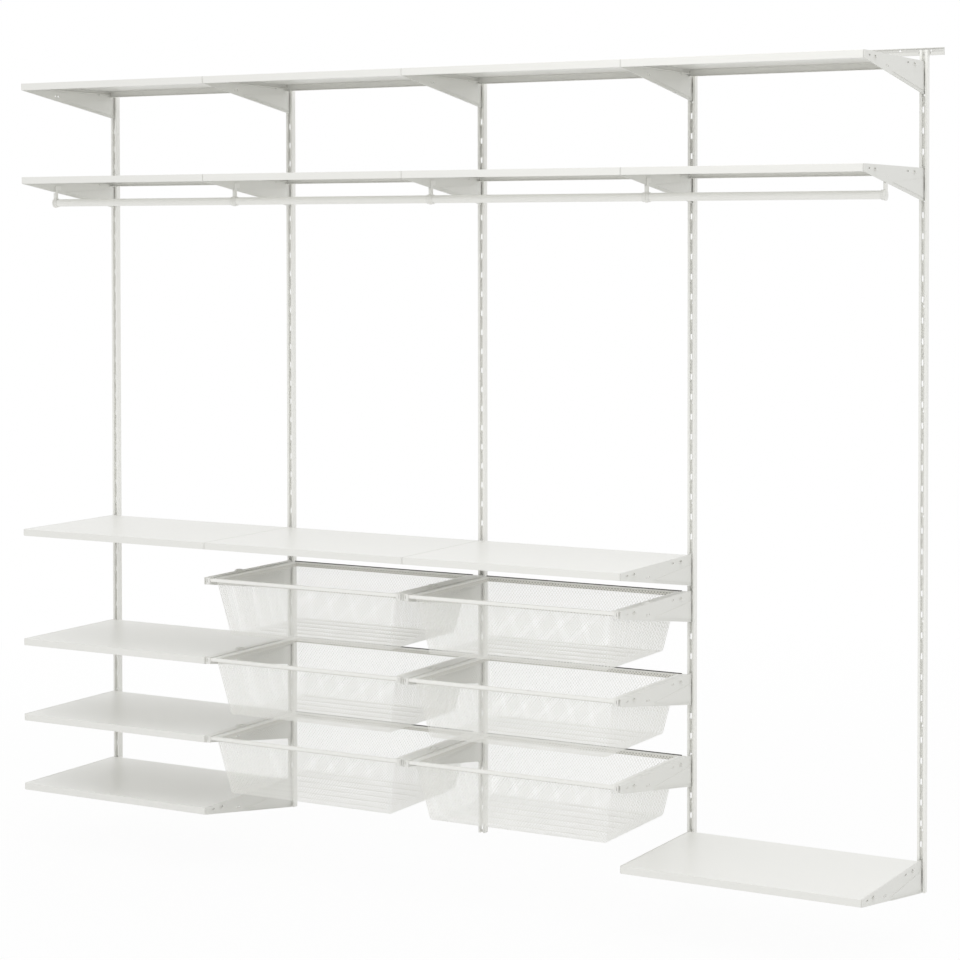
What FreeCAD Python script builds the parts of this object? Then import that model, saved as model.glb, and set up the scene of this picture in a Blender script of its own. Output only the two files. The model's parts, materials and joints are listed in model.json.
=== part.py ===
"""Wall-mounted closet system: slotted uprights on a rail, with shelves, clothes rails and pull-out baskets.

The wall is the plane y = 0 and the object stands off it towards -y. +x runs along the wall to the right
and +z is up. The model is built with z = 0 at the lower ends of the uprights and is written out with its
origin on the wall behind the suspension rail, at the rail's mid-height and at the middle upright.
Lengths are millimetres.
"""
import FreeCAD, Part
import math
import os

V = FreeCAD.Vector
ALONG = V(1, 0, 0)
FORWARD = V(0, -1, 0)
UP = V(0, 0, 1)
LEFT = -1
RIGHT = 1

# Layout: uprights and bays are numbered from the left, and each level names the uprights with a bracket
bay_pitch = 608.0
base_level = 78.7
row_3_rise = 188.8
row_2_rise = 205.2
row_1_rise = 207.3
middle_clearance = 10.9
upper_level_drop = 252.6
top_level_drop = 25.7
level_uprights = {
    "top": (0, 1, 2, 3, 4),
    "upper": (0, 1, 2, 3, 4),
    "middle": (0, 1, 2, 3),
    "row_1": (1, 2, 3),
    "row_2": (0, 1, 2, 3),
    "row_3": (0, 1, 2, 3),
    "base": (0, 1, 3, 4),
}
shelf_places = {
    "top_shelf_1": ("top", 0),
    "top_shelf_2": ("top", 1),
    "top_shelf_3": ("top", 2),
    "top_shelf_4": ("top", 3),
    "upper_shelf_1": ("upper", 0),
    "upper_shelf_2": ("upper", 1),
    "upper_shelf_3": ("upper", 2),
    "upper_shelf_4": ("upper", 3),
    "middle_shelf_1": ("middle", 0),
    "middle_shelf_2": ("middle", 1),
    "middle_shelf_3": ("middle", 2),
    "side_shelf_upper": ("row_2", 0),
    "side_shelf_middle": ("row_3", 0),
    "side_shelf_lower": ("base", 0),
    "low_shelf": ("base", 3),
}
basket_places = {
    "left_upper": ("row_1", 1),
    "left_middle": ("row_2", 1),
    "left_lower": ("row_3", 1),
    "right_upper": ("row_1", 2),
    "right_middle": ("row_2", 2),
    "right_lower": ("row_3", 2),
}

# Cuts run past the faces that they leave by this much
overrun = 1.0
# Two directions count as parallel where the sine of the angle between them is below this
parallel_share = 0.000001

# Uprights: a roll-formed section, two lobes and a groove between them, whose web stands off the wall
upright_length = 2004.0
upright_width = 20.0
upright_depth = 15.0
upright_sheet = 1.5
upright_bend = 0.8
web_offset = 4.0
groove_width = 8.0
slot_pitch = 50.0
slot_height = 14.0
slot_setback = 6.0
slot_strip = 3.0
first_slot = 14.0
top_margin = 40.0
slots_per_screw = 5
first_screw = 148.0
screw_radius = 2.5

# Suspension rail: lengths end to end, a J section whose lip the uprights hook over
rail_length = 622.0
rail_joint = 0.5
rail_height = 18.0
rail_rise = 6.0
rail_sheet = 1.5
rail_depth = 6.5
rail_lip = 8.0
rail_top_flange = 4.0
rail_gap = 0.4
rail_screws = 3
rail_screw_pitch = 200.0
rail_screw_radius = 2.5
rail_screw_drop = 5.5
rail_slot_width = 2.2
rail_slot_height = 10.0
rail_slot_drop = 4.0
rail_slot_margin = 2.9

# Shelves: a folded sheet, open below, whose side lips rest on the bracket tabs
shelf_front = 398.0
shelf_rear = 28.0
shelf_front_height = 18.0
shelf_rear_height = 18.0
shelf_sheet = 1.0
shelf_front_lip = 10.0
shelf_side_lip = 8.0
shelf_end_gap = 0.5

# Brackets: a plate that stands in the groove, with lugs in the slots and four windows below its top edge
bracket_sheet = 2.0
bracket_setback = 1.0
bracket_rear_gap = 0.3
bracket_rear_height = 80.0
nose_radius = 3.0
heel_chamfer = 4.0
lug_height = 6.0
lug_margin = 0.5
lug_engagement = 1.1
window_width = 12.0
window_height = 4.0
window_drop = 10.0
left_front_window_setback = 32.0
right_front_window_setback = 67.0
left_rear_window_reach = 120.0
right_rear_window_reach = 76.0
tab_reach = 6.0
panel_front = 220.0
panel_rear = 20.0
panel_top_drop = 26.0
panel_margin = 8.0
panel_proud = 1.2
flange_reach = 2.4
flange_sheet = 1.5

# Clothes rails: a round tube whose ends sit in ring collars, hung from the upper brackets by straps
clothes_rail_forward = 261.0
clothes_rail_drop = 68.0
clothes_rail_diameter = 20.0
clothes_rail_wall = 1.2
clothes_rail_end_gap = 0.3
collar_wall = 1.4
collar_length = 9.0
collar_partition = 1.5
collar_gap = 0.3
ring_wall = 3.0
ring_length = 4.0
strap_sheet = 2.6
strap_gap = 0.3
strap_width = 9.0
strap_rise = 6.0
peg_drop = 27.0
peg_spacing = 12.0
peg_radius = 2.5
peg_gap = 0.3

# Basket runners: a plastic channel on the bracket's side, with pegs in its windows and a stop on its top
runner_width = 16.0
runner_height = 17.0
runner_wall = 1.8
runner_ledge = 6.4
runner_end_gap = 0.5
runner_rear = 30.0
runner_peg_length = 0.8
runner_peg_gap = 0.3
stop_setback = 121.5
stop_length = 38.0
stop_rise_length = 10.0
stop_fall_length = 18.0
stop_height = 5.0
stop_width = 8.0

# Baskets: a folded rim that slides in the runners, end caps on its front corners and a tapered tray below it
rim_side_gap = 1.7
rim_lift = 0.3
rim_height = 8.0
rim_sheet = 1.2
rim_rear = 22.0
rim_bar = 8.0
rim_side = 26.5
rim_corner = 4.0
cap_depth = 4.0
cap_side_gap = 2.9
cap_slot_width = 1.6
cap_slot_height = 9.0
cap_slot_drop = 3.0
cap_slot_setback = 3.2
tray_wall = 1.0
tray_height = 139.0
tray_corner = 4.0
tray_flange = 5.0
knee_side_inset = 26.0
knee_front_inset = 22.0
knee_rear_inset = 22.0
knee_height = 4.0
floor_inset = 2.0
floor_ribs = 6
rib_width = 5.0
rib_height = 2.0
rib_margin = 24.0

row_3_level = base_level + row_3_rise
row_2_level = row_3_level + row_2_rise
row_1_level = row_2_level + row_1_rise
top_level = upright_length - top_level_drop
level_tops = {
    "top": top_level,
    "upper": top_level - upper_level_drop,
    "middle": row_1_level + bracket_rear_height + middle_clearance,
    "row_1": row_1_level,
    "row_2": row_2_level,
    "row_3": row_3_level,
    "base": base_level,
}
bay_count = max(max(uprights) for uprights in level_uprights.values())
rail_top = upright_length + rail_rise
rail_bottom = rail_top - rail_height
rail_middle = rail_top - rail_height / 2
upright_half = upright_width / 2
groove_half = groove_width / 2
slot_front = -upright_depth + slot_setback
bracket_half = bracket_sheet / 2
bracket_front = shelf_front - bracket_setback
bracket_rear = web_offset + upright_sheet + bracket_rear_gap
window_reaches = {
    LEFT: (bracket_front - left_front_window_setback, left_rear_window_reach),
    RIGHT: (bracket_front - right_front_window_setback, right_rear_window_reach),
}
tab_drop = window_drop + window_height / 2
clothes_rail_radius = clothes_rail_diameter / 2
clothes_rail_height = level_tops["upper"] - clothes_rail_drop
rim_front = shelf_front - cap_depth
runner_front = rim_front - runner_end_gap


def upright_x(index):
    return (index - bay_count / 2) * bay_pitch


def slot_centres():
    """Heights of the slots' middles, as many as the upright has room for below its top margin."""
    count = math.floor((upright_length - top_margin - first_slot) / slot_pitch) + 1
    return [first_slot + slot_pitch * number for number in range(count)]


def screw_heights():
    """Heights of the wall screw holes, one for every few slots."""
    pitch = slots_per_screw * slot_pitch
    count = math.floor((upright_length - top_margin - first_screw) / pitch) + 1
    return [first_screw + pitch * number for number in range(count)]


def block(x0, x1, y0, y1, z0, z1):
    return Part.makeBox(x1 - x0, y1 - y0, z1 - z0, V(x0, y0, z0))


def prism(points, sweep):
    return Part.Face(Part.makePolygon(points + points[:1])).extrude(sweep)


def rod(radius, x0, x1, y, z):
    return Part.makeCylinder(radius, x1 - x0, V(x0, y, z), ALONG)


def rounded_outline(x0, x1, y0, y1, z, radius):
    """Closed wire: a rectangle at height z with four round corners."""
    diagonal = radius * (1 - math.sin(math.pi / 4))
    lines = (
        (V(x0 + radius, y0, z), V(x1 - radius, y0, z)),
        (V(x1, y0 + radius, z), V(x1, y1 - radius, z)),
        (V(x1 - radius, y1, z), V(x0 + radius, y1, z)),
        (V(x0, y1 - radius, z), V(x0, y0 + radius, z)),
    )
    middles = (
        V(x1 - diagonal, y0 + diagonal, z),
        V(x1 - diagonal, y1 - diagonal, z),
        V(x0 + diagonal, y1 - diagonal, z),
        V(x0 + diagonal, y0 + diagonal, z),
    )
    edges = []
    for place, (start, end) in enumerate(lines):
        following = lines[(place + 1) % len(lines)][0]
        edges.append(Part.LineSegment(start, end).toShape())
        edges.append(Part.Arc(end, middles[place], following).toShape())
    return Part.Wire(edges)


def edges_along(shape, direction, is_wanted):
    """Straight edges of a shape along a direction, where their middle passes the given test."""
    found = []
    for edge in shape.Edges:
        if edge.Curve.TypeId == "Part::GeomLine":
            across_share = edge.Curve.Direction.cross(direction).Length
            if across_share < parallel_share and is_wanted(edge.CenterOfMass):
                found.append(edge)
    return found


def make_upright():
    """Upright at x = 0: slots at both edges of the groove's web, and a notch that hooks on the rail."""
    front = -upright_depth
    inner = front + upright_sheet
    wall = upright_half - upright_sheet
    cheek = groove_half + upright_sheet
    web_front = -web_offset - upright_sheet
    section = [
        (-upright_half, 0),
        (-upright_half, front),
        (-groove_half, front),
        (-groove_half, web_front),
        (groove_half, web_front),
        (groove_half, front),
        (upright_half, front),
        (upright_half, 0),
        (wall, 0),
        (wall, inner),
        (cheek, inner),
        (cheek, -web_offset),
        (-cheek, -web_offset),
        (-cheek, inner),
        (-wall, inner),
        (-wall, 0),
    ]
    body = prism([V(x, y, 0) for x, y in section], UP * upright_length)
    body = body.makeFillet(upright_bend, edges_along(body, UP, lambda p: p.y < front + upright_bend))
    cuts = []
    slot_reach = cheek + upright_sheet / 2
    for centre in slot_centres():
        low = centre - slot_height / 2
        high = centre + slot_height / 2
        for side in (LEFT, RIGHT):
            x0, x1 = sorted((side * slot_strip / 2, side * slot_reach))
            cuts.append(block(x0, x1, slot_front, overrun - web_offset, low, high))
    for height in screw_heights():
        depth = upright_sheet + 2 * overrun
        cuts.append(Part.makeCylinder(screw_radius, depth, V(0, overrun - web_offset, height), FORWARD))
    # The notch clears the rail and leaves a hook that drops behind its lip
    lip_top = rail_bottom + rail_lip
    face = -rail_depth - rail_gap
    behind_lip = -rail_depth + rail_sheet + rail_gap
    hook_back = -rail_sheet - rail_gap
    notch = [
        (overrun, rail_bottom - rail_gap),
        (face, rail_bottom - rail_gap),
        (face, lip_top + rail_gap),
        (behind_lip, lip_top + rail_gap),
        (behind_lip, rail_bottom + rail_sheet + rail_gap),
        (hook_back, rail_bottom + rail_sheet + rail_gap),
        (hook_back, upright_length + overrun),
        (overrun, upright_length + overrun),
    ]
    side = -upright_half - overrun
    cuts.append(prism([V(side, y, z) for y, z in notch], ALONG * (upright_width + 2 * overrun)))
    return body.cut(Part.makeCompound(cuts))


def make_rail(left):
    """One length of the suspension rail, with screw holes above its lip and a slot beside each upright."""
    lip_back = -rail_depth + rail_sheet
    lip_top = rail_bottom + rail_lip
    section = [
        (0, rail_bottom),
        (-rail_depth, rail_bottom),
        (-rail_depth, lip_top),
        (lip_back, lip_top),
        (lip_back, rail_bottom + rail_sheet),
        (-rail_sheet, rail_bottom + rail_sheet),
        (-rail_sheet, rail_top - rail_sheet),
        (-rail_top_flange, rail_top - rail_sheet),
        (-rail_top_flange, rail_top),
        (0, rail_top),
    ]
    body = prism([V(left, y, z) for y, z in section], ALONG * rail_length)
    cuts = []
    middle = left + rail_length / 2
    for number in range(rail_screws):
        x = middle + (number - (rail_screws - 1) / 2) * rail_screw_pitch
        start = V(x, overrun, rail_top - rail_screw_drop)
        cuts.append(Part.makeCylinder(rail_screw_radius, rail_sheet + 2 * overrun, start, FORWARD))
    high = rail_top - rail_slot_drop
    for index in range(bay_count + 1):
        for side in (LEFT, RIGHT):
            x = upright_x(index) + side * (upright_half + rail_slot_margin + rail_slot_width / 2)
            x0 = x - rail_slot_width / 2
            x1 = x + rail_slot_width / 2
            if left < x0 and x1 < left + rail_length:
                back = -rail_depth - overrun
                cuts.append(block(x0, x1, back, overrun, high - rail_slot_height, high))
    return body.cut(Part.makeCompound(cuts))


def bracket_underside(forward):
    """How far the bracket's lower edge lies below its top at a distance from the wall."""
    slope_share = (bracket_front - forward) / (bracket_front - bracket_rear)
    return shelf_front_height + slope_share * (bracket_rear_height - shelf_front_height)


def make_bracket_plate(top):
    """Bracket plate at x = 0: level top, straight sloping underside, round nose and chamfered heel."""
    rear = -bracket_rear
    near = -bracket_half
    outline = [
        V(near, rear, top - bracket_rear_height + heel_chamfer),
        V(near, rear, top),
        V(near, -bracket_front, top),
        V(near, -bracket_front, top - shelf_front_height),
        V(near, rear - heel_chamfer, top - bracket_underside(bracket_rear + heel_chamfer)),
    ]
    plate = prism(outline, ALONG * bracket_sheet)
    nose = edges_along(plate, ALONG, lambda p: p.y < nose_radius - bracket_front and p.z < top - nose_radius)
    plate = plate.makeFillet(nose_radius, nose)

    # A pressed panel, proud on one side and hollow on the other, stiffens the rear half
    panel = [
        V(0, -panel_front, top - bracket_underside(panel_front) + panel_margin),
        V(0, -panel_rear, top - panel_top_drop),
        V(0, -panel_rear, top - bracket_underside(panel_rear) + panel_margin),
    ]
    hollow = prism([point + ALONG * near for point in panel], ALONG * panel_proud)
    pad_start = bracket_half - panel_proud
    pad = prism([point + ALONG * pad_start for point in panel], ALONG * (2 * panel_proud))

    # A narrow flange is folded out along the lower edge below the panel
    corners = ((panel_front, 0), (panel_rear, 0), (panel_rear, flange_sheet), (panel_front, flange_sheet))
    flange = [V(bracket_half, -out, top - bracket_underside(out) + rise) for out, rise in corners]
    return plate.cut(hollow).fuse(pad).fuse(prism(flange, ALONG * flange_reach))


def make_bracket(top, tab_sides):
    """Bracket at x = 0 with its top edge at the given height and tabs bent out to the given sides."""
    plate = make_bracket_plate(top)
    across = bracket_half + overrun

    # Lugs bent to one side rest on the lower ends of the slots that the plate's rear edge covers
    lug_left = -groove_half - lug_engagement
    lug_y0 = slot_front + lug_margin
    lug_y1 = -bracket_rear
    for centre in slot_centres():
        rest = centre - slot_height / 2
        if top - bracket_rear_height + heel_chamfer < rest and rest + lug_height < top:
            plate = plate.fuse(block(lug_left, -bracket_half, lug_y0, lug_y1, rest, rest + lug_height))

    # Windows, each with a tab bent out from its lower edge where a shelf may rest
    tab_top = top - tab_drop
    for side, reaches in window_reaches.items():
        for reach in reaches:
            y0 = -reach - window_width / 2
            y1 = -reach + window_width / 2
            plate = plate.cut(block(-across, across, y0, y1, tab_top, tab_top + window_height))
            if side in tab_sides:
                x0, x1 = sorted((side * bracket_half, side * (bracket_half + tab_reach)))
                plate = plate.fuse(block(x0, x1, y0, y1, tab_top - bracket_sheet, tab_top))
    # Every bracket has the two holes that a clothes rail hanger clips into
    for back in (0, peg_spacing):
        y = back - clothes_rail_forward
        plate = plate.cut(rod(peg_radius + peg_gap, -across, across, y, top - peg_drop))
    return plate.removeSplitter()


def make_shelf(level, bay):
    """Folded sheet shelf between two brackets: deep front and back, shallower sides, with lips below."""
    top = level_tops[level]
    low = top - shelf_front_height
    rear_low = top - shelf_rear_height
    side_low = top - tab_drop
    x0 = upright_x(bay) + bracket_half + shelf_end_gap
    x1 = upright_x(bay + 1) - bracket_half - shelf_end_gap
    y0 = -shelf_front
    y1 = -shelf_rear
    t = shelf_sheet
    lip = shelf_side_lip
    fold = y0 + shelf_front_lip
    rear_fold = y1 - lip
    body = block(x0, x1, y0, y1, side_low, top).fuse(block(x0, x1, y0, fold, low, top))
    body = body.fuse(block(x0, x1, rear_fold, y1, rear_low, top)).removeSplitter()
    body = body.makeFillet(t, [edge for edge in body.Edges if edge.CenterOfMass.z > top - t / 2])
    body = body.cut(block(x0 + t, x1 - t, y0 + t, y1 - t, side_low + t, top - t))
    body = body.cut(block(x0 + lip, x1 - lip, fold, rear_fold, side_low - overrun, side_low + t))
    body = body.cut(block(x0 + t, x1 - t, y0 + t, fold, low + t, side_low + t))
    return body.cut(block(x0 + t, x1 - t, rear_fold, y1 - t, rear_low + t, side_low + t))


def make_clothes_rail(bay):
    y = -clothes_rail_forward
    end = collar_partition / 2 + clothes_rail_end_gap
    x0 = upright_x(bay) + end
    x1 = upright_x(bay + 1) - end
    tube = rod(clothes_rail_radius, x0, x1, y, clothes_rail_height)
    bore_radius = clothes_rail_radius - clothes_rail_wall
    return tube.cut(rod(bore_radius, x0 - overrun, x1 + overrun, y, clothes_rail_height))


def make_hanger(index):
    """Hanger at an upright: two pegs through the bracket, and for each clothes rail a strap and a collar."""
    x = upright_x(index)
    top = level_tops["upper"]
    y = -clothes_rail_forward
    z = clothes_rail_height
    sides = [side for side, has_rail in ((LEFT, index > 0), (RIGHT, index < bay_count)) if has_rail]
    bore = clothes_rail_radius + collar_gap
    hanger = rod(bore + ring_wall, x - ring_length / 2, x + ring_length / 2, y, z)
    for side in sides:
        x0, x1 = sorted((x, x + side * collar_length))
        hanger = hanger.fuse(rod(bore + collar_wall, x0, x1, y, z))
    half = strap_width / 2
    inner = bracket_half + strap_gap
    outer = inner + strap_sheet
    strap_top = top - peg_drop + strap_rise
    strap = block(x - outer, x + outer, y - half, y + half, z, strap_top)
    foot_back = y + peg_spacing + half
    foot_low = strap_top - 2 * strap_rise
    strap = strap.fuse(block(x - outer, x + outer, y - half, foot_back, foot_low, strap_top))
    throat_low = top - bracket_underside(clothes_rail_forward - half) - strap_gap
    throat_top = strap_top + overrun
    # On a side without a clothes rail there is no strap, and the pegs end flush with the bracket
    open_left = x - inner if LEFT in sides else x - outer - overrun
    open_right = x + inner if RIGHT in sides else x + outer + overrun
    throat = block(open_left, open_right, y - strap_width, foot_back + overrun, throat_low, throat_top)
    peg_left = x - outer if LEFT in sides else x - bracket_half
    peg_right = x + outer if RIGHT in sides else x + bracket_half
    hanger = hanger.fuse(strap.cut(throat))
    for back in (0, peg_spacing):
        hanger = hanger.fuse(rod(peg_radius, peg_left, peg_right, y + back, top - peg_drop))
    for side in sides:
        x0, x1 = sorted((x + side * collar_partition / 2, x + side * (collar_length + overrun)))
        hanger = hanger.cut(rod(bore, x0, x1, y, z))
    return hanger.removeSplitter()


def make_runner(level, index, side):
    """Runner on one side of the bracket at an upright."""
    top = level_tops[level]
    x = upright_x(index)
    near = bracket_half
    web = near + runner_wall
    far = near + runner_width
    section = [
        (near, -runner_height),
        (far, -runner_height),
        (far, -runner_height + runner_ledge),
        (web, -runner_height + runner_ledge),
        (web, -runner_wall),
        (far, -runner_wall),
        (far, 0),
        (near, 0),
    ]
    outline = [V(x + side * across, -runner_front, top + z) for across, z in section]
    body = prism(outline, FORWARD * (runner_rear - runner_front))
    stop_front = stop_setback - runner_front
    stop = [
        V(x + side * near, stop_front, top),
        V(x + side * near, stop_front + stop_rise_length, top + stop_height),
        V(x + side * near, stop_front + stop_length - stop_fall_length, top + stop_height),
        V(x + side * near, stop_front + stop_length, top),
    ]
    body = body.fuse(prism(stop, ALONG * (side * stop_width)))
    for reach in window_reaches[side]:
        x0, x1 = sorted((x + side * near, x + side * (near - runner_peg_length)))
        y0 = -reach - window_width / 2 + runner_peg_gap
        y1 = -reach + window_width / 2 - runner_peg_gap
        z0 = top - tab_drop + runner_peg_gap
        z1 = z0 + window_height - 2 * runner_peg_gap
        body = body.fuse(block(x0, x1, y0, y1, z0, z1))
    return body.removeSplitter()


def basket_frame(level, bay):
    """Left, right, lower and upper limits of a basket's rim."""
    near = bracket_half + runner_wall + rim_side_gap
    low = level_tops[level] - runner_height + runner_ledge + rim_lift
    return upright_x(bay) + near, upright_x(bay + 1) - near, low, low + rim_height


def make_rim(level, bay):
    """A sheet folded into an inverted channel all round, wide at the sides where it slides."""
    x0, x1, low, high = basket_frame(level, bay)
    y0 = -rim_front
    y1 = -rim_rear
    s = rim_sheet
    below = low - overrun
    in_x0 = x0 + rim_side
    in_x1 = x1 - rim_side
    in_y0 = y0 + rim_bar
    in_y1 = y1 - rim_bar
    ring = Part.Face(rounded_outline(x0, x1, y0, y1, low, rim_corner)).extrude(UP * (high - low))
    hole = Part.Face(rounded_outline(in_x0, in_x1, in_y0, in_y1, below, tray_corner))
    ring = ring.cut(hole.extrude(UP * (high - low + 2 * overrun)))
    depth = UP * (high - s - below)
    fold = Part.Face(rounded_outline(x0 + s, x1 - s, y0 + s, y1 - s, below, rim_corner - s))
    core = Part.Face(rounded_outline(in_x0 - s, in_x1 + s, in_y0 - s, in_y1 + s, below, tray_corner + s))
    return ring.cut(fold.extrude(depth).cut(core.extrude(depth)))


def make_end_cap(level, bay, side):
    """Slotted plastic cap on a front corner of the rim, as tall as the runner's end behind it."""
    top = level_tops[level]
    plane = upright_x(bay) if side == LEFT else upright_x(bay + 1)
    near = bracket_half + runner_wall + cap_side_gap
    far = bracket_half + runner_width
    x0, x1 = sorted((plane - side * near, plane - side * far))
    cap = block(x0, x1, -shelf_front, -rim_front, top - runner_height, top)
    cap = cap.makeFillet(rim_sheet, edges_along(cap, UP, lambda p: p.y < -shelf_front + rim_sheet))
    slot_near = near + cap_slot_setback
    x0, x1 = sorted((plane - side * slot_near, plane - side * (slot_near + cap_slot_width)))
    high = top - cap_slot_drop
    return cap.cut(block(x0, x1, -shelf_front - overrun, -rim_front + overrun, high - cap_slot_height, high))


def make_tray(level, bay):
    """Tapered tray with a flange under the rim, a sloping knee and ribs across its floor."""
    rim_x0, rim_x1, high, _ = basket_frame(level, bay)
    x0 = rim_x0 + rim_side
    x1 = rim_x1 - rim_side
    y0 = -rim_front + rim_bar
    y1 = -rim_rear - rim_bar
    floor = high - tray_height
    knee = (x0 + knee_side_inset, x1 - knee_side_inset, y0 + knee_front_inset, y1 - knee_rear_inset)
    sole = (knee[0] + floor_inset, knee[1] - floor_inset, knee[2] + floor_inset, knee[3] - floor_inset)

    def shell(inset, bottom):
        wires = []
        for (a, b, c, d), z in (((x0, x1, y0, y1), high), (knee, floor + knee_height), (sole, bottom)):
            wires.append(rounded_outline(a + inset, b - inset, c + inset, d - inset, z, tray_corner - inset))
        return Part.makeLoft(wires, True, True)

    tray = shell(0, floor).cut(shell(tray_wall, floor + tray_wall))
    f = tray_flange
    t = tray_wall
    flange = Part.Face(rounded_outline(x0 - f, x1 + f, y0 - f, y1 + f, high, tray_corner + f))
    mouth = Part.Face(rounded_outline(x0 + t, x1 - t, y0 + t, y1 - t, high + overrun, tray_corner - t))
    flange = flange.extrude(UP * -t).cut(mouth.extrude(UP * -(t + 2 * overrun)))
    tray = tray.fuse(flange)

    spacing = (sole[3] - sole[2] - 2 * rib_margin) / (floor_ribs - 1)
    for number in range(floor_ribs):
        rib_y0 = sole[2] + rib_margin + spacing * number - rib_width / 2
        rib_x0 = sole[0] + rib_margin
        rib_x1 = sole[1] - rib_margin
        rib_top = floor + tray_wall + rib_height
        tray = tray.fuse(block(rib_x0, rib_x1, rib_y0, rib_y0 + rib_width, floor, rib_top))
    return tray.removeSplitter()


def bracket_tab_sides(level, index):
    """Sides of a bracket that have tabs: those where no basket runner lies against it."""
    baskets = basket_places.values()
    return [side for side, bay in ((LEFT, index - 1), (RIGHT, index)) if (level, bay) not in baskets]


def make_bracket_level(level):
    """All brackets of a level, each a separate solid."""
    brackets = []
    for index in level_uprights[level]:
        bracket = make_bracket(level_tops[level], bracket_tab_sides(level, index))
        brackets.append(bracket.translated(ALONG * upright_x(index)))
    return Part.makeCompound(brackets)


def build():
    """All nodes by name."""
    nodes = {}
    left_end = upright_x(0) - upright_half
    rail_span = bay_count * bay_pitch + upright_width
    for number in range(math.ceil(rail_span / (rail_length + rail_joint))):
        left = left_end + number * (rail_length + rail_joint)
        nodes[f"suspension_rail_{number + 1}"] = make_rail(left)

    upright = make_upright()
    for index in range(bay_count + 1):
        nodes[f"wall_upright_{index + 1}"] = upright.translated(ALONG * upright_x(index))

    for level in level_uprights:
        nodes[f"{level}_brackets"] = make_bracket_level(level)
    for name, (level, bay) in shelf_places.items():
        nodes[name] = make_shelf(level, bay)

    for bay in range(bay_count):
        nodes[f"clothes_rail_{bay + 1}"] = make_clothes_rail(bay)
    nodes["clothes_rail_hangers"] = Part.makeCompound([make_hanger(index) for index in range(bay_count + 1)])

    runners = {}
    for name, (level, bay) in basket_places.items():
        pair = [make_runner(level, bay, RIGHT), make_runner(level, bay + 1, LEFT)]
        runners.setdefault(level, []).extend(pair)
        caps = [make_end_cap(level, bay, LEFT), make_end_cap(level, bay, RIGHT)]
        nodes[f"basket_{name}_rim"] = make_rim(level, bay)
        nodes[f"basket_{name}_end_caps"] = Part.makeCompound(caps)
        nodes[f"basket_{name}_mesh"] = make_tray(level, bay)
    for level, pieces in runners.items():
        nodes[f"{level}_basket_runners"] = Part.makeCompound(pieces)
    return nodes


os.makedirs("parts", exist_ok=True)
for node_name, shape in build().items():
    shape = shape.translated(UP * -rail_middle)
    shape.exportStep(f"parts/{node_name}.step")
    print(node_name, len(shape.Solids), "solids", shape.isValid(), round(shape.Volume), "mm3")
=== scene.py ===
"""Wall-mounted closet system in white coated steel: its finishes with painted light and shade, mesh baskets,
light and camera.
"""
import json
import math
from contextlib import contextmanager

import bpy
from bpy.props import FloatProperty, FloatVectorProperty, IntProperty, PointerProperty
from mathutils import Matrix, Vector


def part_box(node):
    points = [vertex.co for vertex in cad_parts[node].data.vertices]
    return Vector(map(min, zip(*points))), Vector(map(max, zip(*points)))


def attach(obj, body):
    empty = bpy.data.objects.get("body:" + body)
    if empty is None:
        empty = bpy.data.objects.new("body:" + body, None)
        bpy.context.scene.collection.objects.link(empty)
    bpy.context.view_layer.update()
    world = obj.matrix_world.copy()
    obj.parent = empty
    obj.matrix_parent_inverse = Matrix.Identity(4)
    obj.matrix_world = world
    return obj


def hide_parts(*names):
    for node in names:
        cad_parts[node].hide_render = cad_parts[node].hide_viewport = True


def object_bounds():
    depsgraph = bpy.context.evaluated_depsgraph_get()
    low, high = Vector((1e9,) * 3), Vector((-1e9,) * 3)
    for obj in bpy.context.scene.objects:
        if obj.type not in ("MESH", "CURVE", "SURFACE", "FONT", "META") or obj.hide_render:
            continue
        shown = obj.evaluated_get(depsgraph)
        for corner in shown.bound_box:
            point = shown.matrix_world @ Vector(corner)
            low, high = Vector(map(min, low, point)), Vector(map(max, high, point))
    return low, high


bl_info = {
    "name": "Closet System Dressing",
    "version": (1, 0, 0),
    "blender": (4, 5, 0),
    "location": "3D View > Sidebar > Closet",
    "description": "Coats a wall-mounted closet system, weaves its mesh baskets and sets up the studio",
    "category": "Object",
}

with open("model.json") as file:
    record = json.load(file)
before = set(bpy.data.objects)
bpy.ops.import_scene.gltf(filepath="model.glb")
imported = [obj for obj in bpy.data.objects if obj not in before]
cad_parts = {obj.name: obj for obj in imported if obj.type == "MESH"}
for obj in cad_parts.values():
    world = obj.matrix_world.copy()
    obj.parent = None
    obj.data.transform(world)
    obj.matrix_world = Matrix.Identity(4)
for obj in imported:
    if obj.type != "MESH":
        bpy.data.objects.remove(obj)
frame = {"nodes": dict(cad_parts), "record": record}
CAD_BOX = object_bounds()

UP = Vector((0, 0, 1))
BASKET_SIDES = ("left", "right")
BASKET_ROWS = ("upper", "middle", "lower")
BASKETS = [f"basket_{side}_{row}" for side in BASKET_SIDES for row in BASKET_ROWS]

# Detail of a noise, from plain blotches to fine ones
SMOOTH, SOFT, CRISP = 1.0, 2.0, 3.0

# Powder coat: its long waves' width in peels, the peel's share of the relief, what clouds and peel add to
# the roughness, and its specular level
WAVES_TO_PEEL = 7
PEEL_SHARE = 0.6
CLOUD_ROUGHNESS = 0.10
PEEL_ROUGHNESS = 0.05
COAT_SPECULAR = 0.5

# Plastic: tone of its darker clouds, its specular level, and what its grain does
PLASTIC_SHADE = 0.94
PLASTIC_SPECULAR = 0.4
GRAIN_ROUGHNESS = 0.14
GRAIN_STRENGTH = 0.35

# Hem: tone of the painted shade in the gaps between its strands, and what its weave does
HEM_GAP_SHADE = 0.5
HEM_ROUGHNESS = 0.45
WEAVE_ROUGHNESS = 0.15
WEAVE_STRENGTH = 0.3

# Strands start this much longer than the slanted height that they cross, and are then trimmed
OVERLENGTH = 1.1

# Strands added to each family so that the trimmed field has no gap at its ends
SPARE_STRANDS = 2

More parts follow.
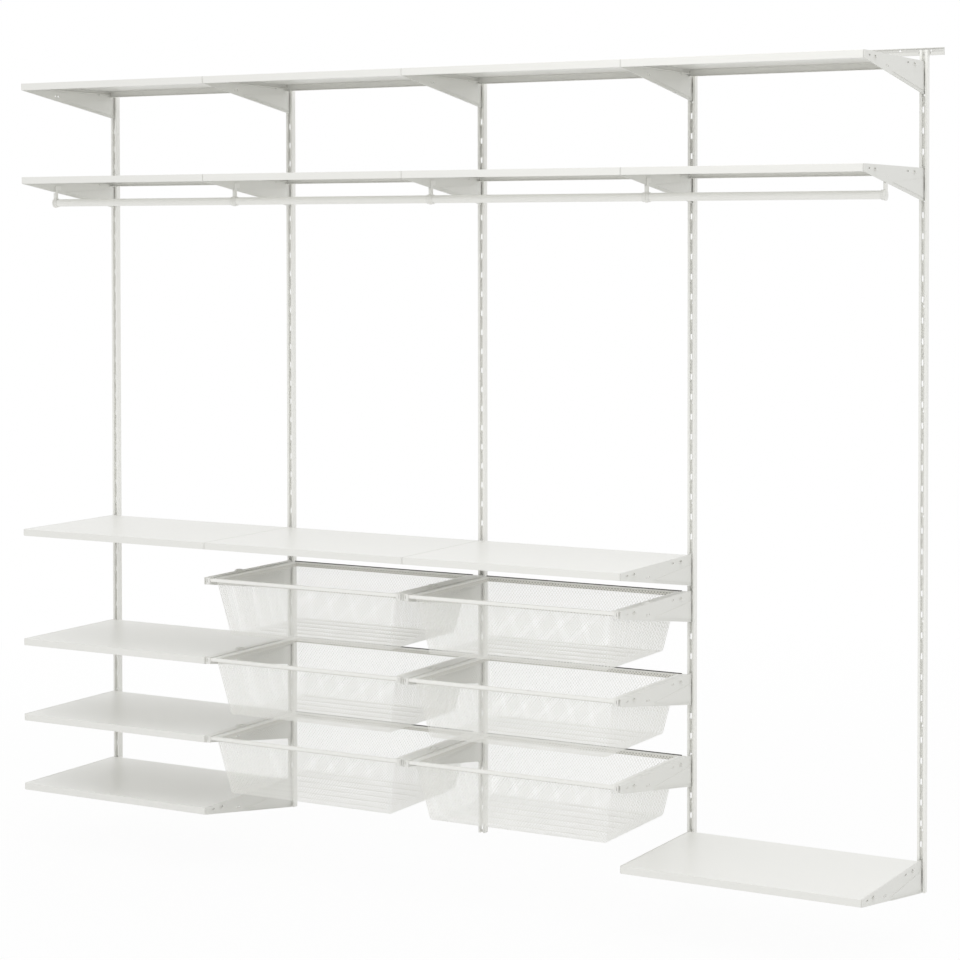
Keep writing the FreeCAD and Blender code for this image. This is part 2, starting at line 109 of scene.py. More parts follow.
# Places of the cuts across a floor rib, as parts of its half width
RIB_CUTS = (-1, -0.5, 0, 0.5, 1)

# Steps in which the floor is trimmed round a corner
FLOOR_CORNER_STEPS = 4

# Segments of the hem's round corners
HEM_SEGMENTS = 6

# Bevel of the edges of the dark strip of painted shade, as a part of its thickness, and its segments
SHADE_STRIP_ROUNDING = 0.25
SHADE_STRIP_SEGMENTS = 2

# Sockets of a Mix node that blends colours
MIX_FACTOR, MIX_FIRST, MIX_SECOND = 0, 6, 7
MIX_COLOR = 2

# Tone of the floor's darker clouds
FLOOR_SHADE = 0.98

# Width in millimetres of the sensor that the camera's focal length is given for
SENSOR_WIDTH = 36


def length(name, description, default):
    """A size in metres that a user may change."""
    return FloatProperty(
        name=name, description=description, default=default, min=0, unit="LENGTH", precision=5)


def share(name, description, default):
    return FloatProperty(name=name, description=description, default=default, min=0, max=1, subtype="FACTOR")


def color(name, description, default):
    return FloatVectorProperty(
        name=name, description=description, default=default, min=0, max=1, subtype="COLOR")


def position(name, description, default):
    return FloatVectorProperty(name=name, description=description, default=default, subtype="TRANSLATION")


class ClosetFinish(bpy.types.PropertyGroup):
    """Colours and surface grain of the coated steel and the plastic pieces, with lighter and darker copies
    of the white coat and a dark strip as painted light and shade.
    """

    coat: color("Coat", "Colour of the white powder coat", (0.87, 0.868, 0.835))
    # Painted shade: the suspension rail's white coat is darker, for the shade of the shelf and brackets over
    # it
    rail_coat_and_painted_shade: color("Rail coat", "Colour of the suspension rail", (0.76, 0.758, 0.73))
    # Painted light: uprights, tubes and rims get a lighter copy of the white coat, for the light falling on
    # them
    coat_and_painted_light: color(
        "Bright coat", "Colour of uprights, tubes and rims, a little lighter", (0.92, 0.918, 0.885))
    # Painted shade: the brackets get a darker copy of the white coat, for the shade on their sides
    bracket_coat_and_painted_shade: color(
        "Bracket coat", "Colour of the brackets, which are a little darker", (0.8, 0.8, 0.765))
    # Painted light: the expanded metal gets the lightest copy of the white coat, to brighten its shaded
    # strands
    mesh_coat_and_painted_light: color("Mesh coat", "Colour of the expanded metal, the lightest of all", (0.94, 0.938, 0.905))
    clouding: share("Clouding", "How much darker the coat's soft clouds are", 0.03)
    plastic: color("Plastic", "Colour of runners and end caps", (0.85, 0.848, 0.815))
    # Painted shade: the hem is a little darker than the mesh, for the shade inside the rim
    hem: color("Hem", "Colour of the mesh's doubled hem", (0.88, 0.87, 0.82))
    # Painted shade: a dark strip stands in for the shaded gap along the rim's rear
    shade_strip: color("Edging", "Colour of the thin dark edging", (0.07, 0.067, 0.058))
    gloss: share("Coat roughness", "Roughness of the powder coat", 0.42)
    peel: length("Orange peel", "Width of the coat's finest ripples", 0.0018)
    peel_depth: length("Peel depth", "Depth of the coat's ripples", 0.00004)
    cloud_width: length("Cloud width", "Width of the soft clouds in the coat", 0.22)
    grain: length("Plastic grain", "Width of the moulded grain of plastic pieces", 0.0009)
    grain_depth: length("Grain depth", "Depth of the moulded grain", 0.00003)
    plastic_cloud_width: length("Plastic cloud width", "Width of the soft clouds in the plastic", 0.06)
    weave_depth: length("Weave depth", "Depth of the pattern pressed into the hem", 0.0002)


class ClosetBasket(bpy.types.PropertyGroup):
    """Sizes of a basket's mesh, hem and the dark strip of painted shade along its rim's rear."""

    pitch: length("Mesh pitch", "Distance between strands along the rim", 0.0086)
    strand_width: length("Strand width", "Width of a strand of the mesh", 0.0010)
    strand_thickness: length("Strand thickness", "Thickness of a strand of the mesh", 0.0004)
    strand_angle: FloatProperty(
        name="Strand angle", description="Angle of the strands above the level", default=math.radians(48),
        unit="ROTATION")
    flange: length("Flange", "Width of the tray's flange below the rim", 0.005)
    corner: length("Corner radius", "Radius of the tray's upright corners", 0.004)
    knee_side: length("Lean at the sides", "How far the walls lean in at both sides", 0.026)
    knee_front: length("Lean at the front", "How far the front wall leans in", 0.022)
    knee_rear: length("Lean at the rear", "How far the rear wall leans in", 0.022)
    knee_height: length("Knee height", "Height of the bend between walls and floor", 0.004)
    floor_inset: length("Knee width", "Width of that bend seen from above", 0.002)
    corner_cuts: IntProperty(
        name="Corner cuts", description="Bends of a strand round a corner", default=5, min=2)
    ribs: IntProperty(name="Ribs", description="Pressed ribs across the floor", default=6, min=2)
    rib_width: length("Rib width", "Width of a pressed rib", 0.016)
    rib_height: length("Rib height", "Height of a pressed rib", 0.0045)
    rib_margin: length("Rib margin", "Distance from the ribs to the floor's edges", 0.030)
    rib_ramp: length("Rib ramp", "Length over which a rib rises at its ends", 0.010)
    hem_height: length("Hem height", "Height of the mesh's doubled hem inside the rim", 0.0080)
    hem_drop: length("Hem drop", "How far the hem starts below the rim's top", 0.0036)
    hem_sheet: length("Hem thickness", "Thickness of the hem", 0.0005)
    hem_gap: length("Hem gap", "Gap between the hem and the rim", 0.0003)
    # These sizes place a dark strip of painted shade along the rim's rear, standing in for the shaded gap
    # there
    shade_strip_height: length("Edging height", "How far the dark edging stands above the rim's rear", 0.0022)
    shade_strip_width: length("Edging width", "Thickness of the dark edging", 0.0012)
    shade_strip_margin: length("Edging margin", "Distance from the edging's ends to the rim's sides", 0.016)


class ClosetStudio(bpy.types.PropertyGroup):
    """Floor, lamps and camera."""

    floor_gap: length("Floor gap", "Distance from the uprights' lower ends to the floor", 0.09)
    floor_size: length("Floor size", "Side of the floor", 30.0)
    floor_color: color("Floor", "Colour of the floor", (0.86, 0.86, 0.85))
    floor_cloud_width: length("Floor clouds", "Width of the soft clouds on the floor", 0.5)
    floor_whiteness: share("Floor whiteness", "How far the camera sees the floor as plain white", 0.95)
    fade_start: length("Fade start", "Distance at which the floor starts to fade to plain white", 2.2)
    fade_end: length("Fade end", "Distance at which the floor is plain white", 4.5)
    ambient: FloatProperty(name="Ambient", description="Strength of the light from all round", default=0.92)
    key: FloatProperty(
        name="Key lamp", description="Power of the soft lamp high above the right bays", default=8.0)
    bounce: FloatProperty(name="Bounce lamp", description="Power of the lamp low at the front", default=9.0)
    key_place: position("Key place", "Where the key lamp stands", (1.0, -1.0, 1.2))
    key_target: position("Key target", "Where the key lamp points", (0.4, -0.3, -1.2))
    key_size: length("Key size", "Side of the key lamp", 1.2)
    bounce_place: position("Bounce place", "Where the bounce lamp stands", (0.6, -3.0, -1.9))
    bounce_target: position("Bounce target", "Where the bounce lamp points", (0.0, -0.2, -0.3))
    bounce_size: length("Bounce size", "Side of the bounce lamp", 2.4)
    camera_x: FloatProperty(
        name="Camera X", description="Camera to the right", default=3.1406, unit="LENGTH")
    camera_y: FloatProperty(
        name="Camera Y", description="Camera from the wall", default=-5.2887, unit="LENGTH")
    camera_height: FloatProperty(
        name="Camera height", description="Camera above the uprights' lower ends", default=1.5529,
        unit="LENGTH")
    camera_turn: FloatProperty(
        name="Camera turn", description="Camera turned to the left", default=0.4865, unit="ROTATION")
    camera_tilt: FloatProperty(
        name="Camera tilt", description="Camera tilted down", default=0.0229, unit="ROTATION")
    camera_lens: FloatProperty(name="Lens", description="Focal length in millimetres", default=88.07)
    shift_x: FloatProperty(name="Shift X", description="Sideways shift of the lens", default=-0.125)
    shift_y: FloatProperty(name="Shift Y", description="Upward shift of the lens", default=-0.1927)


class Value:
    """A shader socket on which arithmetic adds Math nodes."""

    def __init__(self, shader, socket):
        self.shader = shader
        self.socket = socket

    def math(self, operation, *others):
        return self.shader.math(operation, self, *others)

    def __add__(self, other):
        return self.math("ADD", other)

    def __sub__(self, other):
        return self.math("SUBTRACT", other)

    def __mul__(self, other):
        return self.math("MULTIPLY", other)


class Shader:
    """The node tree of a material or of the world."""

    def __init__(self, owner):
        owner.use_nodes = True
        self.owner = owner
        self.tree = owner.node_tree
        self.tree.nodes.clear()

    def node(self, kind, settings=None, inputs=None, output=0):
        """A node of any type, its settings first and then the values or links of its sockets."""
        made = self.tree.nodes.new(kind)
        for key, value in (settings or {}).items():
            setattr(made, key, value)
        for key, value in (inputs or {}).items():
            if isinstance(value, Value):
                self.tree.links.new(value.socket, made.inputs[key])
            else:
                made.inputs[key].default_value = value
        return Value(self, made.outputs[output])

    def math(self, operation, *values):
        return self.node("ShaderNodeMath", {"operation": operation}, dict(enumerate(values)))

    def place(self):
        return self.node("ShaderNodeTexCoord", output="Object")

    def noise(self, place, width, detail):
        """Noise from 0 to 1 whose blotches are about as wide as the given length."""
        return self.node("ShaderNodeTexNoise", None, {"Vector": place, "Scale": 1 / width, "Detail": detail})

    def blend(self, factor, first, second):
        """A colour between two others."""
        inputs = {MIX_FACTOR: factor, MIX_FIRST: (*first, 1), MIX_SECOND: (*second, 1)}
        return self.node("ShaderNodeMix", {"data_type": "RGBA"}, inputs, output=MIX_COLOR)

    def bump(self, height, depth, strength):
        return self.node("ShaderNodeBump", None, {"Height": height, "Distance": depth, "Strength": strength})

    def surface(self, **sockets):
        """A Principled surface; an underscore in a socket's name stands for a space."""
        inputs = {key.replace("_", " "): value for key, value in sockets.items()}
        self.finish(self.node("ShaderNodeBsdfPrincipled", None, inputs), "ShaderNodeOutputMaterial")
        return self.owner

    def finish(self, surface, kind):
        output = self.tree.nodes.new(kind)
        self.tree.links.new(surface.socket, output.inputs["Surface"])


def shaded(base, part):
    """A darker tone of a colour: this part of each of its channels."""
    return [part * channel for channel in base]


def coated_steel(name, coat, roughness_change=0.0, grain_strength=0.25):
    """Powder coat: a fine orange peel and soft clouds in tone and gloss."""
    finish = bpy.context.scene.closet_finish
    shader = Shader(bpy.data.materials.new(name))
    place = shader.place()
    clouds = shader.noise(place, finish.cloud_width, SOFT)
    peel = shader.noise(place, finish.peel, SOFT)
    waves = shader.noise(place, WAVES_TO_PEEL * finish.peel, SMOOTH)
    height = peel * PEEL_SHARE + waves * (1 - PEEL_SHARE)
    lowest = finish.gloss + roughness_change - (CLOUD_ROUGHNESS + PEEL_ROUGHNESS) / 2
    roughness = clouds * CLOUD_ROUGHNESS + peel * PEEL_ROUGHNESS + lowest
    return shader.surface(
        Base_Color=shader.blend(clouds, shaded(coat, 1 - finish.clouding), coat),
        Roughness=roughness,
        Specular_IOR_Level=COAT_SPECULAR,
        Normal=shader.bump(height, finish.peel_depth, grain_strength))


def moulded_plastic(name, base, roughness):
    """Moulded plastic with a fine spark-eroded grain."""
    finish = bpy.context.scene.closet_finish
    shader = Shader(bpy.data.materials.new(name))
    place = shader.place()
    grain = shader.noise(place, finish.grain, CRISP)
    clouds = shader.noise(place, finish.plastic_cloud_width, SOFT)
    return shader.surface(
        Base_Color=shader.blend(clouds, shaded(base, PLASTIC_SHADE), base),
        Roughness=grain * GRAIN_ROUGHNESS + (roughness - GRAIN_ROUGHNESS / 2),
        Specular_IOR_Level=PLASTIC_SPECULAR,
        Normal=shader.bump(grain, finish.grain_depth, GRAIN_STRENGTH))


def hem_metal(name):
    """Mesh folded double: a diagonal pattern of bright strands over gaps darkened as painted shade."""
    finish = bpy.context.scene.closet_finish
    basket = bpy.context.scene.closet_basket
    shader = Shader(bpy.data.materials.new(name))
    place = shader.place()
    turns = math.tau / basket.pitch
    split = shader.node("ShaderNodeSeparateXYZ", None, {"Vector": place})
    along = shader.node("ShaderNodeSeparateXYZ", None, {"Vector": place}, output="Y") + split
    up = shader.node("ShaderNodeSeparateXYZ", None, {"Vector": place}, output="Z")
    rising = ((along + up) * turns).math("SINE")
    falling = ((along - up) * turns).math("SINE")
    weave = rising.math("MAXIMUM", falling) * 0.5 + 0.5
    return shader.surface(
        # Painted shade: the weave's gaps get half the hem's tone, for the shade seen through the doubled
        # mesh
        Base_Color=shader.blend(weave, shaded(finish.hem, HEM_GAP_SHADE), finish.hem),
        Roughness=weave * WEAVE_ROUGHNESS + HEM_ROUGHNESS,
        Normal=shader.bump(weave, finish.weave_depth, WEAVE_STRENGTH))


def deselect():
    bpy.ops.object.select_all(action="DESELECT")


def choose(*pieces):
    """Selects these objects alone and makes the first one active."""
    deselect()
    for piece in pieces:
        piece.select_set(True)
    bpy.context.view_layer.objects.active = pieces[0]


@contextmanager
def editing(piece, domain="FACE"):
    """Edit mode on one piece with all of it selected."""
    choose(piece)
    bpy.ops.object.mode_set(mode="EDIT")
    bpy.ops.mesh.select_mode(type=domain)
    bpy.ops.mesh.select_all(action="SELECT")
    yield
    bpy.ops.object.mode_set(mode="OBJECT")


def apply_place(piece):
    choose(piece)
    bpy.ops.object.transform_apply(location=True, rotation=True, scale=True)


def apply_modifier(piece, kind, **settings):
    """Adds a modifier and applies it."""
    choose(piece)
    modifier = piece.modifiers.new(kind.title(), kind)
    for key, value in settings.items():
        setattr(modifier, key, value)
    bpy.ops.object.modifier_apply(modifier=modifier.name)


def named(name):
    piece = bpy.context.object
    piece.name = name
    piece.data.name = name
    return piece


def box_between(name, low, high):
    """A box primitive between two corners."""
    deselect()
    bpy.ops.mesh.primitive_cube_add(size=1, location=(low + high) / 2, scale=high - low)
    piece = named(name)
    apply_place(piece)
    return piece


def join(*pieces):
    choose(*pieces)
    bpy.ops.object.join()
    return pieces[0]


def copy_to(piece, name, step):
    """A copy with its own mesh, moved by a step."""
    copy = piece.copy()
    copy.data = piece.data.copy()
    copy.name = name
    copy.data.name = name
    copy.data.transform(Matrix.Translation(step))
    bpy.context.scene.collection.objects.link(copy)
    return copy


def dress(piece, material, body):
    """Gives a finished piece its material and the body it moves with."""
    piece.data.materials.clear()
    piece.data.materials.append(material)
    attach(piece, body)


def cut(piece, point, normal, clear=False):
    """Bisects a piece; what lies beyond the plane goes if it is to be cleared, and the cut is closed."""
    with editing(piece):
        bpy.ops.mesh.bisect(plane_co=point, plane_no=normal, use_fill=clear, clear_outer=clear)


def strand_field(name, across, depth):
    """Flat mesh from x = 0 to across and z = -depth to 0: two crossing families of slanted strands."""
    basket = bpy.context.scene.closet_basket
    angle = basket.strand_angle
    run = depth / math.tan(angle)
    copies = math.ceil((across + 2 * run) / basket.pitch) + SPARE_STRANDS
    long_side = OVERLENGTH * depth / math.sin(angle)
    families = []
    for side in (1, -1):
        deselect()
        bpy.ops.mesh.primitive_cube_add(
            size=1,
            location=(-run, side * basket.strand_thickness / 2, -depth / 2),
            rotation=(0, side * angle, 0),
            scale=(long_side, basket.strand_thickness, basket.strand_width))
        family = named(name)
        apply_place(family)
        apply_modifier(
            family, "ARRAY", count=copies, use_relative_offset=False, use_constant_offset=True,
            constant_offset_displace=(basket.pitch, 0, 0))
        families.append(family)
    field = join(*families)
    cut(field, (0, 0, 0), UP, clear=True)
    cut(field, (0, 0, -depth), -UP, clear=True)
    cut(field, (0, 0, 0), (-1, 0, 0), clear=True)
    cut(field, (across, 0, 0), (1, 0, 0), clear=True)
    return field


class TrayShape:
    """Outlines of a basket's tray at mouth, knee and floor: low x, high x, low y, high y and height."""

    def __init__(self, node):
        basket = bpy.context.scene.closet_basket
        low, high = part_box(node)
        flange = basket.flange
        inset = basket.floor_inset
        self.radius = basket.corner
        self.mouth = (low.x + flange, high.x - flange, low.y + flange, high.y - flange, high.z)
        self.knee = (
            self.mouth[0] + basket.knee_side,
            self.mouth[1] - basket.knee_side,
            self.mouth[2] + basket.knee_front,
            self.mouth[3] - basket.knee_rear,
            low.z + basket.knee_height)
        self.sole = (
            self.knee[0] + inset, self.knee[1] - inset, self.knee[2] + inset, self.knee[3] - inset, low.z)
        self.wall = high.z - self.knee[4]
        self.slope = math.hypot(inset, basket.knee_height)
        self.arc = self.radius * math.pi / 2
        straights = [self.straight(self.mouth, side) for side in range(4)]
        self.lengths = [size for straight in straights for size in (straight, self.arc)]
        self.around = sum(self.lengths)

    def straight(self, outline, side):
        """Length of one straight side: front, right, rear or left."""
        spread = outline[1] - outline[0] if side % 2 == 0 else outline[3] - outline[2]
        return spread - 2 * self.radius

    def corner(self, outline, side):
        """Centre of the round corner at the end of a side."""
        x = outline[1] - self.radius if side in (0, 1) else outline[0] + self.radius
        y = outline[2] + self.radius if side in (0, 3) else outline[3] - self.radius
        return Vector((x, y, outline[4]))

    def spot(self, outline, travel):
        """Point and outward direction at a distance round the mouth, carried over to an outline."""
        place = 0
        while place < len(self.lengths) - 1 and travel > self.lengths[place]:
            travel -= self.lengths[place]
            place += 1
        side = place // 2
        centre = self.corner(outline, side)
        start = side * math.pi / 2 - math.pi / 2
        if place % 2:
            turn = start + travel / self.radius
            outward = Vector((math.cos(turn), math.sin(turn), 0))
            return centre + self.radius * outward, outward
        outward = Vector((math.cos(start), math.sin(start), 0))
        along = UP.cross(outward)
        back = self.straight(outline, side) * (1 - travel / self.lengths[place])
        return centre + self.radius * outward - back * along, outward

    def bends(self, cuts):
        """Distances round the mouth at which a strand bends."""
        found = []
        travel = 0
        for place, size in enumerate(self.lengths):
            steps = cuts if place % 2 else 1
            found += [travel + size * step / steps for step in range(steps)]
            travel += size
        return found[1:]

    def wrap(self, vertex):
        """Place on the tray of a point of the flat mesh."""
        depth = -vertex.z
        if depth < self.wall:
            upper, lower, part = self.mouth, self.knee, depth / self.wall
        else:
            upper, lower, part = self.knee, self.sole, (depth - self.wall) / self.slope
        top, outward = self.spot(upper, vertex.x)
        bottom, _ = self.spot(lower, vertex.x)
        return top.lerp(bottom, part) - vertex.y * outward


def mesh_walls(shape):
    """The four walls and the knee: flat mesh that is bent round the corners."""
    cuts = bpy.context.scene.closet_basket.corner_cuts
    walls = strand_field("mesh_walls", shape.around, shape.wall + shape.slope)
    cut(walls, (0, 0, -shape.wall), UP)
    for travel in shape.bends(cuts):
        cut(walls, (travel, 0, 0), (1, 0, 0))
    for vertex in walls.data.vertices:
        vertex.co = shape.wrap(vertex.co)
    return walls


def mesh_floor(shape):
    """The level floor with its pressed ribs: flat mesh laid down, raised and trimmed round its corners."""
    basket = bpy.context.scene.closet_basket
    x0, x1, y0, y1, z = shape.sole
    floor = strand_field("mesh_floor", x1 - x0, y1 - y0)
    for vertex in floor.data.vertices:
        vertex.co = Vector((vertex.co.x + x0, y1 + vertex.co.z, z + vertex.co.y))
    ends = (x0 + basket.rib_margin, x1 - basket.rib_margin)
    for x in (ends[0], ends[0] + basket.rib_ramp, ends[1] - basket.rib_ramp, ends[1]):
        cut(floor, (x, 0, 0), (1, 0, 0))
    first = y0 + basket.rib_margin
    step = (y1 - y0 - 2 * basket.rib_margin) / (basket.ribs - 1)
    middles = [first + step * number for number in range(basket.ribs)]
    half = basket.rib_width / 2
    for middle in middles:
        for share_of_half in RIB_CUTS:
            cut(floor, (0, middle + share_of_half * half, 0), (0, 1, 0))
    for vertex in floor.data.vertices:
        away = min(abs(vertex.co.y - middle) for middle in middles)
        inside = min(vertex.co.x - ends[0], ends[1] - vertex.co.x) / basket.rib_ramp
        if away < half and inside > 0:
            crest = 0.5 + 0.5 * math.cos(math.pi * away / half)
            vertex.co.z += basket.rib_height * crest * min(1, inside)
    for side in range(4):
        centre = shape.corner(shape.sole, side)
        for step in range(1, FLOOR_CORNER_STEPS):
            turn = (side - 1) * math.pi / 2 + step * math.pi / 2 / FLOOR_CORNER_STEPS
            outward = Vector((math.cos(turn), math.sin(turn), 0))
            cut(floor, centre + shape.radius * outward, outward, clear=True)
    return floor


def hem_band(shape, rim_top):
    """The mesh's doubled hem inside the rim: an outline with round corners, pulled down and thickened."""
    basket = bpy.context.scene.closet_basket
    x0, x1, y0, y1, _ = shape.mouth
    deselect()
    middle = ((x0 + x1) / 2, (y0 + y1) / 2, rim_top - basket.hem_drop)
    bpy.ops.mesh.primitive_plane_add(size=1, location=middle)
    band = named("hem")
    band.scale = (x1 - x0 - 2 * basket.hem_gap, y1 - y0 - 2 * basket.hem_gap, 1)
    apply_place(band)
    with editing(band, "VERT"):
        bpy.ops.mesh.bevel(offset=shape.radius, affect="VERTICES", segments=HEM_SEGMENTS)
        bpy.ops.mesh.select_all(action="SELECT")
        bpy.ops.mesh.delete(type="ONLY_FACE")
        bpy.ops.mesh.select_all(action="SELECT")
        bpy.ops.mesh.extrude_region_move(TRANSFORM_OT_translate={"value": (0, 0, -basket.hem_height)})
        bpy.ops.mesh.select_all(action="SELECT")
        bpy.ops.mesh.normals_make_consistent(inside=False)
    apply_modifier(band, "SOLIDIFY", thickness=basket.hem_sheet, offset=-1)
    return band


class CLOSET_OT_coat_steel(bpy.types.Operator):
    """Give every metal piece of the frame its white powder coat, some pieces lighter or darker as painted
    light and shade
    """

    bl_idname = "closet.coat_steel"
    bl_label = "Coat the Steel"
    bl_options = {"REGISTER", "UNDO"}

    def execute(self, context):
        finish = context.scene.closet_finish
        # Painted light and shade: uprights, tubes, rims and mesh get lighter copies of the white coat,
        # brackets and the rail darker ones
        coats = {
            "rail_steel": coated_steel("rail coat and painted shade", finish.rail_coat_and_painted_shade, roughness_change=0.02),
            "upright_steel": coated_steel("upright coat and painted light", finish.coat_and_painted_light, roughness_change=0.04),
            "bracket_steel": coated_steel("bracket coat and painted shade", finish.bracket_coat_and_painted_shade),
            "shelf_steel": coated_steel(
                "shelf coat", finish.coat, roughness_change=-0.08, grain_strength=0.3),
            "tube_steel": coated_steel(
                "tube coat and painted light", finish.coat_and_painted_light, roughness_change=-0.12, grain_strength=0.15),
            "hanger_steel": coated_steel("hanger coat", finish.coat, roughness_change=0.05),
            "basket_steel": coated_steel("rim coat and painted light", finish.coat_and_painted_light),
            "mesh_steel": coated_steel("mesh coat and painted light", finish.mesh_coat_and_painted_light, roughness_change=0.03),
            "cap_plastic": moulded_plastic("end cap plastic", finish.plastic, roughness=0.5),
            "runner_plastic": moulded_plastic("runner plastic", finish.plastic, roughness=0.55),
        }
        for entry in frame["record"]["subparts"]:
            node = frame["nodes"][entry["node"]]
            node.data.materials.clear()
            node.data.materials.append(coats[entry["material_slot"]])
        return {"FINISHED"}


class CLOSET_OT_weave_baskets(bpy.types.Operator):
    """Make the mesh trays with their hems and floor ribs"""

    bl_idname = "closet.weave_baskets"
    bl_label = "Weave the Baskets"
    bl_options = {"REGISTER", "UNDO"}

    def execute(self, context):
        first = BASKETS[0]
        shape = TrayShape(f"{first}_mesh")
        rim_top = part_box(f"{first}_rim")[1].z
        tray = join(mesh_walls(shape), mesh_floor(shape))
        hem = hem_band(shape, rim_top)
        coat = bpy.data.materials["mesh coat and painted light"]
        doubled = hem_metal("hem metal and painted shade")
        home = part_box(f"{first}_mesh")[0]
        for name in BASKETS:
            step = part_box(f"{name}_mesh")[0] - home
            woven = copy_to(tray, f"{name}_woven_tray", step)
            dress(woven, coat, name)
            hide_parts(f"{name}_mesh")
            band = copy_to(hem, f"{name}_hem", step)
            dress(band, doubled, name)
        bpy.data.objects.remove(tray)
        bpy.data.objects.remove(hem)
        return {"FINISHED"}


class CLOSET_OT_lay_shade_strips(bpy.types.Operator):
    """Lay a thin dark strip of painted shade along the rear of every basket's rim"""

    bl_idname = "closet.edge_baskets"
    bl_label = "Lay the Shade Strips"
    bl_options = {"REGISTER", "UNDO"}

    def execute(self, context):
        basket = context.scene.closet_basket
        # Painted shade: a dark strip stands in for the shaded gap behind the rim's rear
        dark = moulded_plastic("edging plastic", context.scene.closet_finish.shade_strip, roughness=0.6)
        for name in BASKETS:
            low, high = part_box(f"{name}_rim")
            start = Vector((low.x + basket.shade_strip_margin, high.y - basket.shade_strip_width, high.z))
            end = Vector((high.x - basket.shade_strip_margin, high.y, high.z + basket.shade_strip_height))
            strip = box_between(f"{name}_edging", start, end)
            with editing(strip, "EDGE"):
                bpy.ops.mesh.bevel(
                    offset=SHADE_STRIP_ROUNDING * basket.shade_strip_width, segments=SHADE_STRIP_SEGMENTS)
            dress(strip, dark, name)
        return {"FINISHED"}


def studio_floor(studio):
    """A pale floor that the camera sees as nearly white, with the object's shadow on it."""
    deselect()
    level = CAD_BOX[0].z - studio.floor_gap
    bpy.ops.mesh.primitive_plane_add(size=studio.floor_size, location=(0, 0, level))
    floor = named("floor")
    apply_place(floor)
    shader = Shader(bpy.data.materials.new("studio floor"))
    clouds = shader.noise(shader.place(), studio.floor_cloud_width, SOFT)
    pale = shader.blend(clouds, shaded(studio.floor_color, FLOOR_SHADE), studio.floor_color)
    matte = shader.node("ShaderNodeBsdfDiffuse", None, {"Color": pale})
    white = shader.node("ShaderNodeEmission", None, {"Color": (1, 1, 1, 1), "Strength": 1.0})
    reach = shader.node("ShaderNodeVectorMath", {"operation": "LENGTH"}, {0: shader.place()}, output="Value")
    fade = shader.node(
        "ShaderNodeMapRange", None,
        {"Value": reach, "From Min": studio.fade_start, "From Max": studio.fade_end})
    factor = seen_directly(shader) * (fade * (1 - studio.floor_whiteness) + studio.floor_whiteness)
    mixed = shader.node("ShaderNodeMixShader", None, {0: factor, 1: matte, 2: white})
    shader.finish(mixed, "ShaderNodeOutputMaterial")
    floor.data.materials.append(shader.owner)


def seen_directly(shader):
    """1 for camera, glossy and transmission rays, and 0 for the rays that light the object."""
    camera = shader.node("ShaderNodeLightPath", output="Is Camera Ray")
    glossy = shader.node("ShaderNodeLightPath", output="Is Glossy Ray")
    through = shader.node("ShaderNodeLightPath", output="Is Transmission Ray")
    return camera.math("MAXIMUM", glossy).math("MAXIMUM", through)


def studio_world(studio):
    """A white surround whose light on the object is set apart from the white that the camera sees."""
    world = bpy.data.worlds.new("studio")
    bpy.context.scene.world = world
    shader = Shader(world)
    seen = seen_directly(shader)
    strength = seen * (1 - studio.ambient) + studio.ambient
    light = shader.node("ShaderNodeBackground", None, {"Color": (1, 1, 1, 1), "Strength": strength})
    shader.finish(light, "ShaderNodeOutputWorld")


def soft_lamp(name, place, target, size, power):
    """A large soft lamp that points at a spot."""
    deselect()
    aim = (Vector(target) - Vector(place)).to_track_quat("-Z", "Y").to_euler()
    bpy.ops.object.light_add(type="AREA", location=place, rotation=aim)
    lamp = bpy.context.object
    lamp.name = name
    lamp.data.shape = "SQUARE"
    lamp.data.size = size
    lamp.data.energy = power


def studio_camera(studio):
    """The camera, about where the photograph was taken from."""
    deselect()
    height = CAD_BOX[0].z + studio.camera_height
    bpy.ops.object.camera_add(
        location=(studio.camera_x, studio.camera_y, height),
        rotation=(math.pi / 2 - studio.camera_tilt, 0, studio.camera_turn))
    camera = bpy.context.object
    camera.data.sensor_width = SENSOR_WIDTH
    camera.data.lens = studio.camera_lens
    camera.data.shift_x = studio.shift_x
    camera.data.shift_y = studio.shift_y
    bpy.context.scene.camera = camera


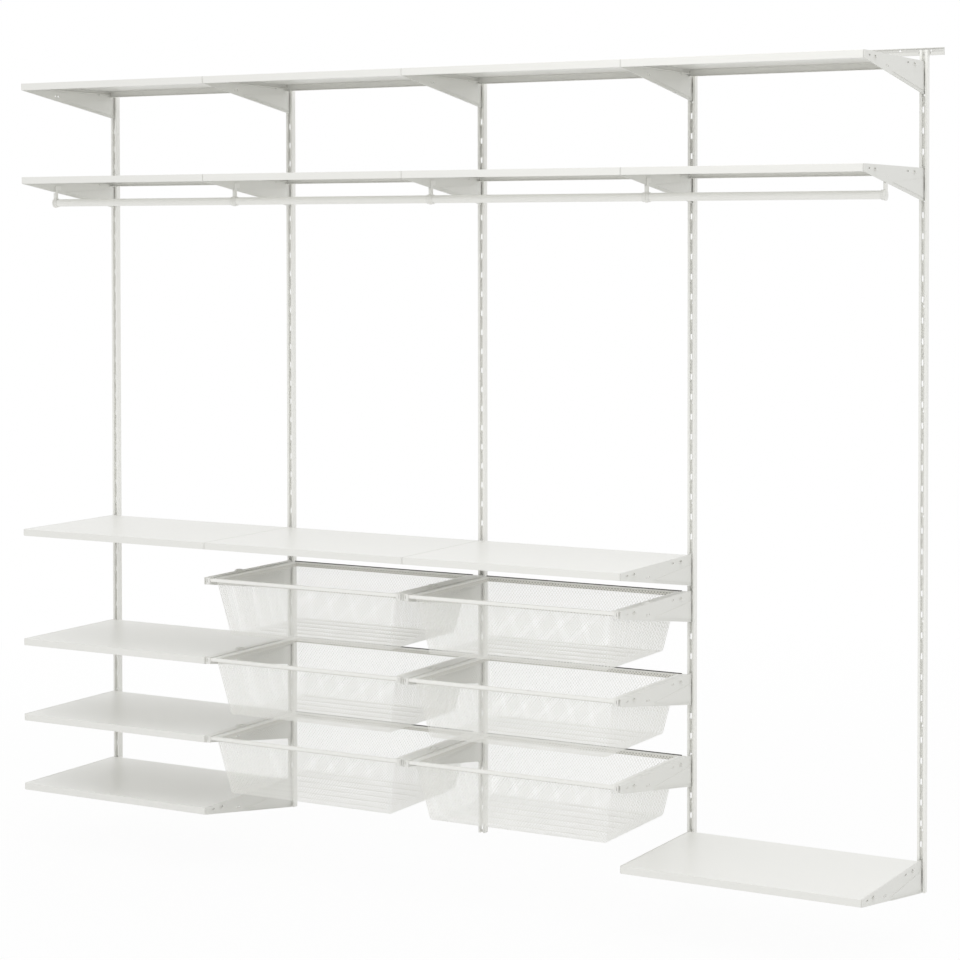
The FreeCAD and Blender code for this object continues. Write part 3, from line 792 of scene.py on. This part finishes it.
class CLOSET_OT_set_stage(bpy.types.Operator):
    """Set up the floor, the lamps and the camera"""

    bl_idname = "closet.set_stage"
    bl_label = "Set the Stage"
    bl_options = {"REGISTER", "UNDO"}

    def execute(self, context):
        studio = context.scene.closet_studio
        studio_floor(studio)
        studio_world(studio)
        soft_lamp("key", studio.key_place, studio.key_target, studio.key_size, studio.key)
        soft_lamp("bounce", studio.bounce_place, studio.bounce_target, studio.bounce_size, studio.bounce)
        studio_camera(studio)
        context.scene.view_settings.view_transform = "Standard"
        return {"FINISHED"}


class CLOSET_PT_dressing(bpy.types.Panel):
    """Sizes, colours and steps of the closet's dressing"""

    bl_idname = "CLOSET_PT_dressing"
    bl_label = "Closet"
    bl_space_type = "VIEW_3D"
    bl_region_type = "UI"
    bl_category = "Closet"

    def draw(self, context):
        for title, group, steps in PANEL_SECTIONS:
            column = self.layout.column()
            column.label(text=title)
            settings = getattr(context.scene, group)
            for key in settings.__annotations__:
                column.prop(settings, key)
            for step in steps:
                column.operator(step.bl_idname)


PANEL_SECTIONS = (
    ("Finish", "closet_finish", (CLOSET_OT_coat_steel,)),
    ("Baskets", "closet_basket", (CLOSET_OT_weave_baskets, CLOSET_OT_lay_shade_strips)),
    ("Studio", "closet_studio", (CLOSET_OT_set_stage,)),
)
GROUPS = {"closet_finish": ClosetFinish, "closet_basket": ClosetBasket, "closet_studio": ClosetStudio}
CLASSES = (
    *GROUPS.values(),
    CLOSET_OT_coat_steel,
    CLOSET_OT_weave_baskets,
    CLOSET_OT_lay_shade_strips,
    CLOSET_OT_set_stage,
    CLOSET_PT_dressing,
)


def register():
    for cls in CLASSES:
        bpy.utils.register_class(cls)
    for name, group in GROUPS.items():
        setattr(bpy.types.Scene, name, PointerProperty(type=group))


def unregister():
    for name in GROUPS:
        delattr(bpy.types.Scene, name)
    for cls in reversed(CLASSES):
        bpy.utils.unregister_class(cls)


def main():
    register()
    bpy.ops.closet.coat_steel()
    bpy.ops.closet.weave_baskets()
    bpy.ops.closet.edge_baskets()
    bpy.ops.closet.set_stage()


if __name__ == "__main__":
    main()
